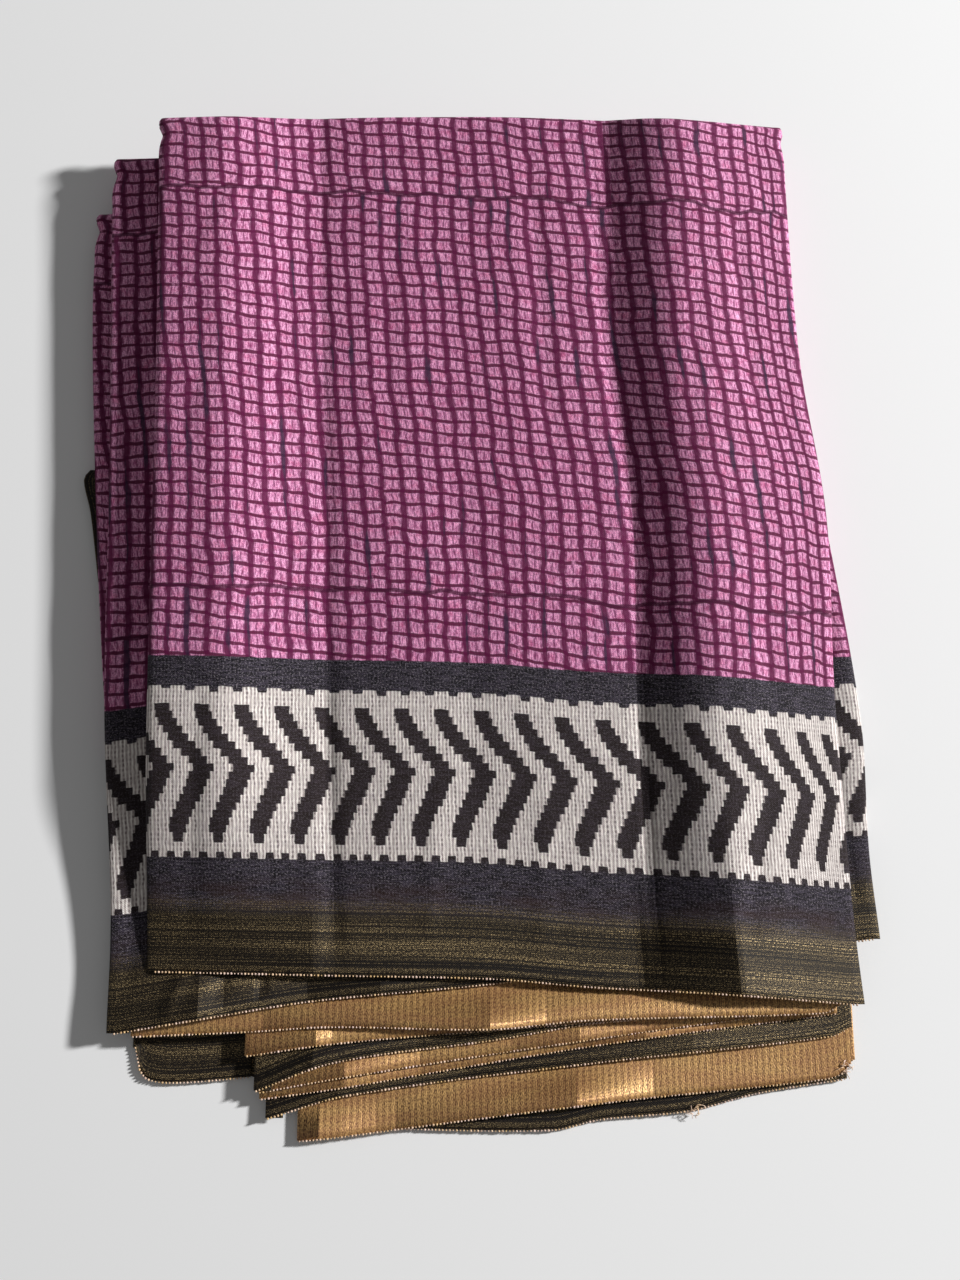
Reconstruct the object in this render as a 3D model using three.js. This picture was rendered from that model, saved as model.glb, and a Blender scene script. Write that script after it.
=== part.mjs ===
// A saree folded into a flat packet, lying face up with its printed border towards the front.
//
// Millimetres, +Z up, +X to the right, -Y towards the border (the front of the packet).
// The length of cloth is folded once across its width, then again and again along its length,
// so the packet is a pile of leaves. The leaves that show are thin walls of their own. The
// leaves between them are one rounded solid, stepped and grooved at its edges like the folds.

import * as THREE from "three";
import { mergeVertices } from "three/addons/utils/BufferGeometryUtils.js";

// ---------------------------------------------------------------- driving dimensions

const CLOTH = 1.0; // thickness of a leaf's wall
const GAP = 0.35; // clearance between neighbouring leaves
const STEP = 1.4; // rise from one leaf to the next where the border edges fan out
const TUCK = 7.5; // how far a lower leaf runs in under the edge of the one above
const NECK = 9.5; // how far the hidden layers stand back at each groove

const FAN_BACK = -190; // y where the fanned border edges meet the hidden layers
const LAYERS_START = 75; // top leaf: from its selvedge to the first hidden layers under it
const THIRD_START = -8; // y where the third leaf comes out from under the second
const RISE_START = -215; // y where the packet starts to thicken behind the border edges
const RISE_END = -60; // y where it has its full thickness
const SWELL = 0.25; // extra thickness at the back fold, as a share of the full thickness
const SWELL_LENGTH = 400; // distance over which it builds up

const DRAPE = 3.0; // how far the upper border edges hang down at the left corner
const DRAPE_START = -60; // x where they begin to hang
const DRAPE_LENGTH = 160;
const DRAPE_LEVELS = 7; // levels over which the drape builds up

const ROLL = 0.75; // radius of a folded edge, as a share of the room under its leaf
const ROLL_LEAST = 1.25;
const ROLL_ANGLES = [90, 60, 30]; // degrees round a folded edge, from its side to its top
const FLOOR_ROLL = 2.4; // radius of the lowest leaf's edges, which turn up from the surface
const LOWEST_FOLD = 0.45; // height of the lowest fold, as a share of the third leaf's height

// ---------------------------------------------------------------- tables of the leaves
//
// left and right: rows of [y, x]; front and back: rows of [x, y].
// level counts steps of STEP at the border edges; pile is the height of the leaf behind them.

const TOP_LEAF = {
  left: [[-203, -201], [-8, -207], [157, -211], [360, -218]],
  right: [[-225, 231], [-176, 227], [-127, 224], [-34, 221], [80, 222], [190, 210], [356, 206]],
  front: [[-201, -203], [-90, -205], [8, -209], [72, -214], [156, -219], [231, -225]],
  back: [[-218, 360], [0, 364], [206, 356]],
  level: 10,
  pile: 24,
};

const SECOND_LEAF = {
  left: [[-239, -224], [-161, -226], [-38, -236], [306, -251], [338, -251]],
  right: [[-184, 243], [-130, 239], [-60, 239], [-12, 235], [80, 223], [190, 207], [350, 203]],
  front: [[-224, -239], [-168, -230], [-102, -220], [8, -210], [243, -184]],
  back: [[-251, 338], [203, 350]],
  level: 9,
  pile: 17,
};

const THIRD_LEAF = {
  left: [[-190, -219], [-120, -228], [2, -243], [151, -257], [237, -263], [302, -264]],
  right: [[-190, 224], [-60, 224], [100, 218], [345, 204]],
  front: [[-219, FAN_BACK], [224, FAN_BACK]],
  back: [[-263, 302], [204, 345]],
  level: 4,
  pile: 9.6,
};

const BOTTOM_LEAF = {
  left: [[-250, -196], [60, -236], [310, -246]],
  right: [[-255, 217], [50, 221], [330, 212]],
  front: [[-196, -250], [-64, -282], [42, -284], [126, -274], [217, -256]],
  back: [[-246, 310], [212, 330]],
};

// Lift of the top leaf over the folds beneath it: rows of [mm from its left edge, lift].
const TOP_WIDTH = 435;
const RIDGES = [
  [0, 0], [7, 0.7], [18, 3.2], [32, 5.0], [48, 5.5], [68, 3.8], [90, 1.7], [114, 0], [200, 0.8],
  [270, 0.6], [312, 0], [325, 2.6], [340, 5.0], [354, 5.6], [380, 4.4], [404, 2.4], [421, 0.8],
  [TOP_WIDTH, 0],
];
const RIDGE_AT_SELVEDGE = 0.6; // share of the lift that is left at the selvedge

// Border edges fanned out at the front, from the highest: name, level, the side that shows,
// and the selvedge as rows of [x, y] from its left end to its right end.
const FAN = [
  { name: "border_reverse_1", level: 8, side: "reverse",
    selvedge: [[-210, -241], [-140, -238], [-90, -235], [7, -236], [66, -231], [220, -226]] },
  { name: "border_reverse_2", level: 7, side: "reverse",
    selvedge: [[-141, -252], [-90, -245], [7, -237], [214, -222]] },
  { name: "border_face_1", level: 6, side: "border",
    selvedge: [[-135, -272], [-90, -256], [7, -243], [72, -233], [214, -222]] },
  { name: "border_reverse_3", level: 5, side: "reverse",
    selvedge: [[-133, -273], [-81, -264], [72, -242], [214, -224]] },
  { name: "border_reverse_4", level: 4, side: "reverse",
    selvedge: [[-132, -277], [-81, -270], [72, -246], [216, -228]] },
  { name: "border_face_2", level: 3, side: "border",
    selvedge: [[-128, -288], [-81, -275], [72, -256], [225, -238]] },
  { name: "border_reverse_5", level: 2, side: "reverse",
    selvedge: [[-109, -301], [-80, -298], [66, -280], [226, -262]] },
  { name: "border_face_3", level: 1, side: "border",
    selvedge: [[-64, -294], [42, -295], [72, -289], [126, -284], [168, -274], [221, -266]] },
  { name: "third_leaf_corner", level: 1, side: "border",
    selvedge: [[-210, -248], [-201, -266], [-180, -268], [-138, -265]] },
];
const FAN_COLUMNS = 9;

// Corner of an inner border that stands out on the left: rows of [y, x] of its outer edge.
const INNER_CORNER = [[36, -247], [88, -256], [115, -263]];

const LOOKS = {
  print: { color: 0x9c4f80, roughness: 0.85, metalness: 0 },
  border: { color: 0x38362a, roughness: 0.75, metalness: 0.1 },
  reverse: { color: 0xb08c52, roughness: 0.5, metalness: 0.4 },
  layers: { color: 0x84406c, roughness: 0.9, metalness: 0 },
};

// ---------------------------------------------------------------- curves

const mix = (a, b, share) => a + (b - a) * share;

function smoothstep(value) {
  const share = THREE.MathUtils.clamp(value, 0, 1);
  return share * share * (3 - 2 * share);
}

// A smooth curve through rows of [at, value]; it stays level past its ends.
function curve(rows) {
  const last = rows.length - 1;
  const slope = (i) => {
    const before = rows[Math.max(i - 1, 0)];
    const after = rows[Math.min(i + 1, last)];
    return (after[1] - before[1]) / (after[0] - before[0]);
  };
  return (at) => {
    let i = 0;
    while (i < last - 1 && at > rows[i + 1][0]) i += 1;
    const length = rows[i + 1][0] - rows[i][0];
    const u = THREE.MathUtils.clamp((at - rows[i][0]) / length, 0, 1);
    const leaving = u * (1 - u) ** 2 * length * slope(i);
    const arriving = u * u * (u - 1) * length * slope(i + 1);
    return mix(rows[i][1], rows[i + 1][1], smoothstep(u)) + leaving + arriving;
  };
}

// A leaf with its edges as curves; front and back are read by the share across the leaf.
function withCurves(leaf) {
  const front = curve(leaf.front);
  const back = curve(leaf.back);
  return {
    ...leaf,
    left: curve(leaf.left),
    right: curve(leaf.right),
    front: (share) => front(mix(leaf.front[0][0], leaf.front.at(-1)[0], share)),
    back: (share) => back(mix(leaf.back[0][0], leaf.back.at(-1)[0], share)),
  };
}

const top = withCurves(TOP_LEAF);
const second = withCurves(SECOND_LEAF);
const third = withCurves(THIRD_LEAF);
const bottom = withCurves(BOTTOM_LEAF);

// ---------------------------------------------------------------- heights

const rise = (y) => smoothstep((y - RISE_START) / (RISE_END - RISE_START));
const swell = (y) => 1 + SWELL * THREE.MathUtils.clamp((y - RISE_END) / SWELL_LENGTH, 0, 1);

// Underside of the leaf at a level of the fan: a step per level, less the drape on the left.
function fanHeight(level, x) {
  const hang = DRAPE * smoothstep((DRAPE_START - x) / DRAPE_LENGTH);
  return STEP * level - hang * Math.min((level - 1) / DRAPE_LEVELS, 1);
}

// Underside of a leaf anywhere in the packet, without the top leaf's ridges.
function height(leaf, x, y) {
  const atFan = leaf === third ? STEP * leaf.level : fanHeight(leaf.level, x);
  return mix(atFan, leaf.pile * swell(y), rise(y));
}

const ridgeCurve = curve(RIDGES);
const ridge = (share, y) => ridgeCurve(share * TOP_WIDTH) * mix(RIDGE_AT_SELVEDGE, 1, rise(y));

// Upper surface of a leaf; share is the share across it.
function surface(leaf, share, x, y) {
  const lift = leaf === top ? ridge(share, y) : 0;
  return height(leaf, x, y) + lift + CLOTH;
}

const lowestFoldTop = (x, y) => LOWEST_FOLD * (height(third, x, y) - GAP);

// Room under a leaf, down to the leaf below it.
function room(leaf, x, y) {
  if (leaf === top) return height(top, x, y) - height(second, x, y);
  if (leaf === second) return height(second, x, y) - height(third, x, y);
  return height(third, x, y) - lowestFoldTop(x, y) - GAP;
}

const rollRadius = (leaf, x, y) => Math.max(ROLL * room(leaf, x, y), ROLL_LEAST);

// ---------------------------------------------------------------- places on a leaf
//
// A station across or along a leaf is { share, degrees }. share runs from 0 to 1 between the
// tops of the folded edges at its two ends, and degrees goes round the edge at that end.

const flat = (share) => ({ share, degrees: 0 });
const startRoll = ROLL_ANGLES.map((degrees) => ({ share: 0, degrees }));
const endRoll = ROLL_ANGLES.map((degrees) => ({ share: 1, degrees })).reverse();

// How far in from a folded edge, and how far down from its top, a surface lies that is depth
// under the outside of the leaf.
function turn(degrees, radius, depth) {
  const angle = THREE.MathUtils.degToRad(degrees);
  const reach = radius - depth;
  return {
    inset: depth + reach * (1 - Math.sin(angle)),
    drop: depth + reach * (1 - Math.cos(angle)),
  };
}

// The x of a station across a leaf at a given y, with the turn of its nearer folded edge.
function acrossAt(leaf, station, y, depth) {
  const leftTurn = turn(station.degrees, rollRadius(leaf, leaf.left(y), y), depth);
  const rightTurn = turn(station.degrees, rollRadius(leaf, leaf.right(y), y), depth);
  const x = station.xAt === undefined
    ? mix(leaf.left(y) + leftTurn.inset, leaf.right(y) - rightTurn.inset, station.share)
    : station.xAt(y);
  return { x, drop: (station.share < 0.5 ? leftTurn : rightTurn).drop };
}

// The y of a station along a leaf between a start line and its folded back edge.
function alongAt(leaf, share, station, startY, depth) {
  const backY = leaf.back(share);
  const backTurn = turn(station.degrees, rollRadius(leaf, 0, backY), depth);
  return { y: mix(startY, backY - backTurn.inset, station.share), drop: backTurn.drop };
}

function leafPoint(leaf, across, y, endDrop, depth) {
  const { x, drop } = acrossAt(leaf, across, y, depth);
  const z = surface(leaf, across.share, x, y) - Math.max(drop, endDrop);
  return new THREE.Vector3(x, y, z);
}

// ---------------------------------------------------------------- solids

function meshOf(name, triangles, look) {
  const geometry = new THREE.BufferGeometry();
  const numbers = triangles.flat().flatMap((point) => [point.x, point.y, point.z]);
  geometry.setAttribute("position", new THREE.Float32BufferAttribute(numbers, 3));
  const mesh = new THREE.Mesh(mergeVertices(geometry, 1e-4), new THREE.MeshStandardMaterial(look));
  mesh.name = name;
  return mesh;
}

const quad = (a, b, c, d) => [[a, b, c], [a, c, d]];

// A cell of a surface, split along its higher diagonal so that folded corners stay full.
const cell = (a, b, c, d) => (a.z + c.z >= b.z + d.z ? quad(a, b, c, d) : quad(b, c, d, a));

// A closed wall between two grids of points, upper[row][column] and lower[row][column], with
// rows towards the back and columns to the right. isCloth says which cells of it are there.
function wall(upper, lower, isCloth = () => true) {
  const rows = upper.length - 1;
  const columns = upper[0].length - 1;
  const has = (j, i) => j >= 0 && i >= 0 && j < rows && i < columns && isCloth(j, i);
  const triangles = [];
  for (let j = 0; j < rows; j += 1) {
    for (let i = 0; i < columns; i += 1) {
      if (!has(j, i)) continue;
      const corners = [[j, i], [j, i + 1], [j + 1, i + 1], [j + 1, i]];
      const [a, b, c, d] = corners.map(([row, column]) => upper[row][column]);
      const [e, f, g, h] = corners.map(([row, column]) => lower[row][column]);
      triangles.push(...cell(a, b, c, d));
      triangles.push(...cell(e, f, g, h).map(([p, q, r]) => [p, r, q]));
      if (!has(j - 1, i)) triangles.push(...quad(e, f, b, a));
      if (!has(j, i + 1)) triangles.push(...quad(f, g, c, b));
      if (!has(j + 1, i)) triangles.push(...quad(g, h, d, c));
      if (!has(j, i - 1)) triangles.push(...quad(h, e, a, d));
    }
  }
  return triangles;
}

const grid = (rows, columns, pointOf) => rows.map((row) => columns.map((column) => pointOf(column, row)));

// ---------------------------------------------------------------- top leaf

const TOP_ACROSS = RIDGES.map((row) => flat(row[0] / TOP_WIDTH));
const PILE_ALONG = [0, 0.06, 0.12, 0.18, 0.24, 0.3, 0.37, 0.45, 0.54, 0.64, 0.76, 0.88, 1].map(flat);
const APRON_ALONG = [0, 0.34, 0.67]; // shares from the selvedge to the first hidden layers

const topLayersFront = (share) => top.front(share) + LAYERS_START;
const topPileStart = (share) => topLayersFront(share) + rollRadius(top, 0, topLayersFront(share));

function topLeaf() {
  const across = [...startRoll, ...TOP_ACROSS, ...endRoll];
  const apron = APRON_ALONG.map((apronShare) => ({ ...flat(0), apronShare }));
  const along = [...apron, ...PILE_ALONG, ...endRoll];
  const at = (depth) => grid(along, across, (column, row) => {
    const start = topPileStart(column.share);
    const pile = alongAt(top, column.share, row, start, depth);
    const y = row.apronShare === undefined
      ? pile.y
      : mix(top.front(column.share), start, row.apronShare);
    return leafPoint(top, column, y, pile.drop, depth);
  });
  return wall(at(0), at(CLOTH));
}

// ---------------------------------------------------------------- second leaf

const SECOND_FRONT_ROWS = [0, 0.25, 0.5, 0.75];
const SECOND_BACK_ROWS = [0, 0.06, 0.12, 0.19, 0.27, 0.35, 0.44, 0.54, 0.65, 0.76, 0.88, 1];
const RIGHT_STRIP_ENDS = 0.44; // share along the back rows where the right strip goes under
const SECOND_MIDDLE = [0.17, 0.26, 0.35, 0.45, 0.55, 0.65, 0.75, 0.85];
const STRIP_SHARES = [0.04, 0.08, 0.95, 0.98]; // of the two columns in each side strip

// The second leaf shows as a strip on the left, one at the front and one on the right.
function secondLeaf() {
  const innerLeft = (y) => top.left(y) + TUCK;
  const innerRight = (y) => top.right(y) - TUCK;
  const edgeLeft = (y) => acrossAt(second, flat(0), y, 0).x;
  const edgeRight = (y) => acrossAt(second, flat(1), y, 0).x;
  const column = (share, xAt) => ({ ...flat(share), xAt });
  const [midLeft, tuckLeft, tuckRight, midRight] = STRIP_SHARES;
  const across = [
    ...startRoll,
    flat(0),
    column(midLeft, (y) => mix(edgeLeft(y), innerLeft(y), 0.5)),
    column(tuckLeft, innerLeft),
    ...SECOND_MIDDLE.map((share) => column(share, (y) => {
      const between = (share - tuckLeft) / (tuckRight - tuckLeft);
      return mix(innerLeft(y), innerRight(y), between);
    })),
    column(tuckRight, innerRight),
    column(midRight, (y) => mix(edgeRight(y), innerRight(y), 0.5)),
    flat(1),
    ...endRoll,
  ];
  const frontRows = SECOND_FRONT_ROWS.map((frontShare) => ({ ...flat(0), frontShare }));
  const along = [...frontRows, ...SECOND_BACK_ROWS.map(flat), ...endRoll];
  const at = (depth) => grid(along, across, (station, row) => {
    const start = topLayersFront(station.share) + TUCK;
    const back = alongAt(second, station.share, row, start, depth);
    const y = row.frontShare === undefined
      ? back.y
      : mix(second.front(station.share), start, row.frontShare);
    return leafPoint(second, station, y, back.drop, depth);
  });
  const leftColumns = startRoll.length + 2;
  const rightColumns = across.length - 1 - leftColumns;
  const frontCells = frontRows.length;
  const rightCells = frontCells + SECOND_BACK_ROWS.indexOf(RIGHT_STRIP_ENDS);
  const isCloth = (j, i) => j < frontCells || i < leftColumns || (i >= rightColumns && j < rightCells);
  return wall(at(0), at(CLOTH), isCloth);
}

// ---------------------------------------------------------------- third leaf

const THIRD_ROWS = [0, 0.16, 0.33, 0.5, 0.67, 0.84, 1];

// The third leaf shows as a strip on the left, from where it comes out to its back corner.
function thirdLeaf() {
  const inner = (y) => second.left(y) + TUCK;
  const edge = (y) => acrossAt(third, flat(0), y, 0).x;
  const across = [
    ...startRoll,
    flat(0),
    { ...flat(0.02), xAt: (y) => mix(edge(y), inner(y), 0.5) },
    { ...flat(0.04), xAt: inner },
  ];
  const along = [...THIRD_ROWS.map(flat), ...endRoll];
  const at = (depth) => grid(along, across, (column, row) => {
    const back = alongAt(third, column.share, row, THIRD_START, depth);
    return leafPoint(third, column, back.y, back.drop, depth);
  });
  return wall(at(0), at(CLOTH));
}

// ---------------------------------------------------------------- border edges of the fan

// A border edge runs from its selvedge back to the hidden layers, flat at its own level.
function fanLeaf({ level, selvedge }) {
  const edge = curve(selvedge);
  const [leftX, rightX] = [selvedge[0][0], selvedge.at(-1)[0]];
  const across = Array.from({ length: FAN_COLUMNS + 1 }, (_, i) => mix(leftX, rightX, i / FAN_COLUMNS));
  const at = (lift) => [
    across.map((x) => new THREE.Vector3(x, edge(x), fanHeight(level, x) + lift)),
    across.map((x) => new THREE.Vector3(x, FAN_BACK + CLOTH, fanHeight(level, x) + lift)),
  ];
  return wall(at(CLOTH), at(0));
}

// A corner of an inner border lies in the groove over the lowest fold and stands out of it.
function innerCorner() {
  const outer = curve(INNER_CORNER);
  const rows = INNER_CORNER.map((row) => row[0]);
  const at = (lift) => rows.map((y) => {
    const columns = [outer(y), third.left(y) + TUCK];
    return columns.map((x) => new THREE.Vector3(x, y, lowestFoldTop(x, y) + GAP + lift));
  });
  return wall(at(CLOTH), at(0));
}

// ---------------------------------------------------------------- bottom leaf

const BOTTOM_SHARES = [0, 0.2, 0.4, 0.6, 0.8, 1];
const BOTTOM_FRONT_ROWS = [0, 0.5];

// The bottom leaf lies flat on the surface and turns up round the lowest fold.
function bottomLeaf() {
  const across = [...startRoll, ...BOTTOM_SHARES.map(flat), ...endRoll];
  const frontRows = BOTTOM_FRONT_ROWS.map((frontShare) => ({ ...flat(0), frontShare }));
  const along = [...frontRows, ...BOTTOM_SHARES.map(flat), ...endRoll];
  const rollStart = FAN_BACK + CLOTH + GAP;
  const at = (depth) => grid(along, across, (column, row) => {
    const side = turn(column.degrees, FLOOR_ROLL, depth);
    const end = turn(row.degrees, FLOOR_ROLL, depth);
    const y = row.frontShare === undefined
      ? mix(rollStart, bottom.back(column.share) - end.inset, row.share)
      : mix(bottom.front(column.share), rollStart, row.frontShare);
    const x = mix(bottom.left(y) + side.inset, bottom.right(y) - side.inset, column.share);
    return new THREE.Vector3(x, y, Math.max(side.drop, end.drop));
  });
  const rollCells = startRoll.length;
  const isRoll = (i) => i < rollCells || i >= across.length - 1 - rollCells;
  return wall(at(CLOTH), at(0), (j, i) => j >= frontRows.length || !isRoll(i));
}

// ---------------------------------------------------------------- hidden layers

// One ring round the hidden layers, over the same stations as the top leaf. placeAt gives the
// point for a share across and along and says how far in from the leaf's outline it lies.
function ring(placeAt) {
  const loop = [];
  const lastAcross = TOP_ACROSS.length - 1;
  const lastAlong = PILE_ALONG.length - 1;
  for (let i = 0; i < lastAcross; i += 1) loop.push([i, 0]);
  for (let j = 0; j < lastAlong; j += 1) loop.push([lastAcross, j]);
  for (let i = lastAcross; i > 0; i -= 1) loop.push([i, lastAlong]);
  for (let j = lastAlong; j > 0; j -= 1) loop.push([0, j]);
  return loop.map(([i, j]) => placeAt(TOP_ACROSS[i].share, PILE_ALONG[j].share));
}

const isEnd = (share) => share === 0 || share === 1;

// A point of the layers under a leaf. Stations at the ends stand in from the leaf's outline by
// insetAt; those between them share out what lies inside betweenAt.
function layersPlace(leaf, share, alongShare, insetAt, betweenAt = insetAt) {
  const endInset = isEnd(alongShare) ? insetAt : betweenAt;
  const sideInset = isEnd(share) ? insetAt : betweenAt;
  const startY = leaf === top ? topLayersFront(share) : FAN_BACK;
  const backY = leaf.back(share);
  const y = mix(startY + endInset(0, startY), backY - endInset(0, backY), alongShare);
  const [leftX, rightX] = [leaf.left(y), leaf.right(y)];
  return { x: mix(leftX + sideInset(leftX, y), rightX - sideInset(rightX, y), share), y };
}

// A ring at a given inset and height.
function levelRing(leaf, inset, heightAt) {
  return ring((share, alongShare) => {
    const { x, y } = layersPlace(leaf, share, alongShare, () => inset);
    return new THREE.Vector3(x, y, heightAt(x, y));
  });
}

// A ring that follows the inside of a leaf's folded edge, at the given degrees round it.
function rollRing(leaf, degrees, heightAt) {
  const radiusAt = (x, y) => rollRadius(leaf, x, y);
  const turnAt = (x, y) => turn(degrees, radiusAt(x, y), CLOTH + GAP);
  return ring((share, alongShare) => {
    const { x, y } = layersPlace(leaf, share, alongShare, (...at) => turnAt(...at).inset, radiusAt);
    const z = heightAt === undefined
      ? surface(leaf, share, x, y) - turnAt(x, y).drop
      : heightAt(x, y);
    return new THREE.Vector3(x, y, z);
  });
}

// A ring in the groove between two leaves, standing back from the outlines of both.
function grooveRing(leaf, lower, heightAt) {
  return ring((share, alongShare) => {
    const own = layersPlace(leaf, share, alongShare, () => NECK);
    const under = layersPlace(lower, share, alongShare, () => NECK);
    const x = share < 0.5 ? Math.max(own.x, under.x) : Math.min(own.x, under.x);
    const y = alongShare < 0.5 ? Math.max(own.y, under.y) : Math.min(own.y, under.y);
    return new THREE.Vector3(x, y, heightAt(x, y));
  });
}

// The rings round the layers between a leaf and the one below it: a groove, then a rounded
// bulge up to the leaf.
function bulge(leaf, lower, grooveFloor, grooveTop) {
  return [
    grooveRing(leaf, lower, grooveFloor),
    grooveRing(leaf, lower, grooveTop),
    rollRing(leaf, 0, grooveTop),
    ...ROLL_ANGLES.map((degrees) => rollRing(leaf, degrees)),
    rollRing(leaf, 0),
  ];
}

function hiddenLayers() {
  const floorGap = CLOTH + GAP;
  const above = (leaf) => (x, y) => height(leaf, x, y) + CLOTH + GAP;
  const below = (leaf) => (x, y) => height(leaf, x, y) - GAP;
  const rings = [
    levelRing(bottom, FLOOR_ROLL, () => floorGap),
    levelRing(bottom, floorGap, (x, y) => mix(floorGap, lowestFoldTop(x, y), 0.5)),
    levelRing(bottom, FLOOR_ROLL, lowestFoldTop),
    ...bulge(third, bottom, lowestFoldTop, (x, y) => lowestFoldTop(x, y) + CLOTH + 2 * GAP),
    ...bulge(second, third, below(third), above(third)),
    ...bulge(top, second, below(second), above(second)),
  ];
  const triangles = [];
  for (let level = 0; level < rings.length - 1; level += 1) {
    const [low, high] = [rings[level], rings[level + 1]];
    low.forEach((point, i) => {
      const next = (i + 1) % low.length;
      triangles.push(...quad(point, low[next], high[next], high[i]));
    });
  }
  return [...triangles, ...underside(rings[0]), ...upperSide()];
}

// The flat underside of the hidden layers, fanned out from its middle.
function underside(lowest) {
  const centre = new THREE.Vector3(0, 0, lowest[0].z);
  return lowest.map((point, i) => [lowest[(i + 1) % lowest.length], point, centre]);
}

// The upper side of the hidden layers, which follows the top leaf.
function upperSide() {
  const depth = CLOTH + GAP;
  const rows = grid(PILE_ALONG, TOP_ACROSS, (column, row) => {
    const insetAt = (x, y) => turn(0, rollRadius(top, x, y), depth).inset;
    const { x, y } = layersPlace(top, column.share, row.share, insetAt);
    return new THREE.Vector3(x, y, surface(top, column.share, x, y) - depth);
  });
  const triangles = [];
  for (let j = 0; j < rows.length - 1; j += 1) {
    for (let i = 0; i < rows[j].length - 1; i += 1) {
      triangles.push(...cell(rows[j][i], rows[j][i + 1], rows[j + 1][i + 1], rows[j + 1][i]));
    }
  }
  return triangles;
}

// ---------------------------------------------------------------- assembly

const packet = new THREE.Group();
packet.add(
  meshOf("hidden_layers", hiddenLayers(), LOOKS.layers),
  meshOf("bottom_leaf", bottomLeaf(), LOOKS.print),
  meshOf("third_leaf", thirdLeaf(), LOOKS.print),
  meshOf("inner_border_corner", innerCorner(), LOOKS.border),
  ...FAN.map((leaf) => meshOf(leaf.name, fanLeaf(leaf), LOOKS[leaf.side])),
  meshOf("second_leaf", secondLeaf(), LOOKS.print),
  meshOf("top_leaf", topLeaf(), LOOKS.print),
);

// The origin is at the middle of the packet's footprint, on the surface that it lies on.
const box = new THREE.Box3().setFromObject(packet);
packet.position.set(-(box.min.x + box.max.x) / 2, -(box.min.y + box.max.y) / 2, -box.min.z);

export default packet;
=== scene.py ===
"""A saree folded into a flat packet: printed cloth, gold-backed selvedges and rounded folds.

The tables and the plan of the packet count millimetres from a point near its middle, +x to the
right, +y away from the border. Meshes are made in metres, in the frame of the CAD part.
"""

import math
from types import SimpleNamespace

import bpy
import numpy as np
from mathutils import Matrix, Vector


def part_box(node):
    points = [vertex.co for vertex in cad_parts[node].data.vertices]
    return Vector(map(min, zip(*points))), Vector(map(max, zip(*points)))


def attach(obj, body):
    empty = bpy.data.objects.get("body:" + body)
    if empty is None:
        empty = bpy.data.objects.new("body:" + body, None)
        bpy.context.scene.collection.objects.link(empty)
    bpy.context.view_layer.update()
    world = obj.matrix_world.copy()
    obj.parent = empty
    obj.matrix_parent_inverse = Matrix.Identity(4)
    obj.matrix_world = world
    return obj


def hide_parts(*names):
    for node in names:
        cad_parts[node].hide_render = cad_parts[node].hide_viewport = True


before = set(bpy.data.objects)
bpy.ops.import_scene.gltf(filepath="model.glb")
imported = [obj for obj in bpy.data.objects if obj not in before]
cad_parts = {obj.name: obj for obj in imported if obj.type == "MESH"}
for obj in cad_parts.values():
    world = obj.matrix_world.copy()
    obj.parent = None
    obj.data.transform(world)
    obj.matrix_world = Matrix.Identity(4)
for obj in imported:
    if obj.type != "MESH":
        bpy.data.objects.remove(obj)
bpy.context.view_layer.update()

# -------- sizes, in millimetres

MM = 0.001
CLOTH = 0.6  # doubled cloth
STEP = 1.4  # rise from one leaf to the next where the border edges fan out
FAN_BACK = -190  # y where the fanned border edges end, inside the packet
RISE_START = -215  # y where the packet starts to thicken behind the border edges
RISE_END = -60  # y where it has its full thickness
SWELL = 0.25  # extra thickness at the back fold, as a share of the full thickness
SWELL_LENGTH = 400
WALL = 1.0  # thickness that a leaf has in the CAD part, from its underside to its top

DRAPE = 3.0  # how far the upper border edges hang down at the left corner
DRAPE_START = -60
DRAPE_LENGTH = 160
DRAPE_LEVELS = 7

FOLD_SHARE = 0.42  # height of a leaf's own folded edge, as a share of the room under it
FOLD_LEAST = 1.5
FOLD_REACH = 5.0  # distance over which a leaf curves down to its folded edge
TUCK = 9.0  # cloth that runs back in below a folded edge
TURN_ANGLES = (25, 50, 70, 90, 115, 145, 180)  # degrees round a folded edge, from its top
GRID = 3.4  # spacing of the points of a leaf

# The right edge of the second leaf and the lowest selvedge place the tables in the CAD frame.
SECOND_RIGHT = 243
LOWEST_SELVEDGE = -301
PLACE = np.array([
    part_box("second_leaf")[1].x / MM - SECOND_RIGHT,
    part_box("border_reverse_5")[0].y / MM - LOWEST_SELVEDGE,
    0,
])

# -------- tables of the leaves
#
# left and right: rows of (y, x). front and back: rows of (x, y). level: its step in the fan of
# border edges. pile: its height behind them. flat: the width and length of its sheet.

TOP = {
    "left": [(-203, -201), (-8, -207), (157, -211), (360, -218)],
    "right": [(-225, 231), (-176, 227), (-127, 224), (-34, 221), (80, 222), (190, 210), (356, 206)],
    "front": [(-201, -203), (-90, -205), (8, -207), (72, -212), (156, -216), (231, -222)],
    "back": [(-218, 360), (0, 364), (206, 356)],
    "level": 10,
    "pile": 24,
    "flat": (465, 580),
}
SECOND = {
    "left": [(-239, -224), (-161, -226), (-38, -236), (120, -242), (306, -251), (338, -251)],
    "right": [(-184, 243), (-130, 239), (-60, 239), (-12, 235), (80, 223), (190, 207), (350, 203)],
    "front": [(-224, -239), (-168, -230), (-102, -220), (8, -210), (243, -184)],
    "back": [(-251, 338), (203, 350)],
    "level": 9,
    "pile": 17,
    "flat": (490, 575),
}
THIRD = {
    "left": [(-190, -219), (-120, -228), (2, -243), (151, -257), (237, -263), (302, -264)],
    "right": [(-190, 224), (-60, 224), (100, 218), (345, 204)],
    "front": [(-219, FAN_BACK), (224, FAN_BACK)],
    "back": [(-263, 302), (204, 345)],
    "level": 4,
    "pile": 9.6,
    "flat": (490, 530),
}
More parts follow.
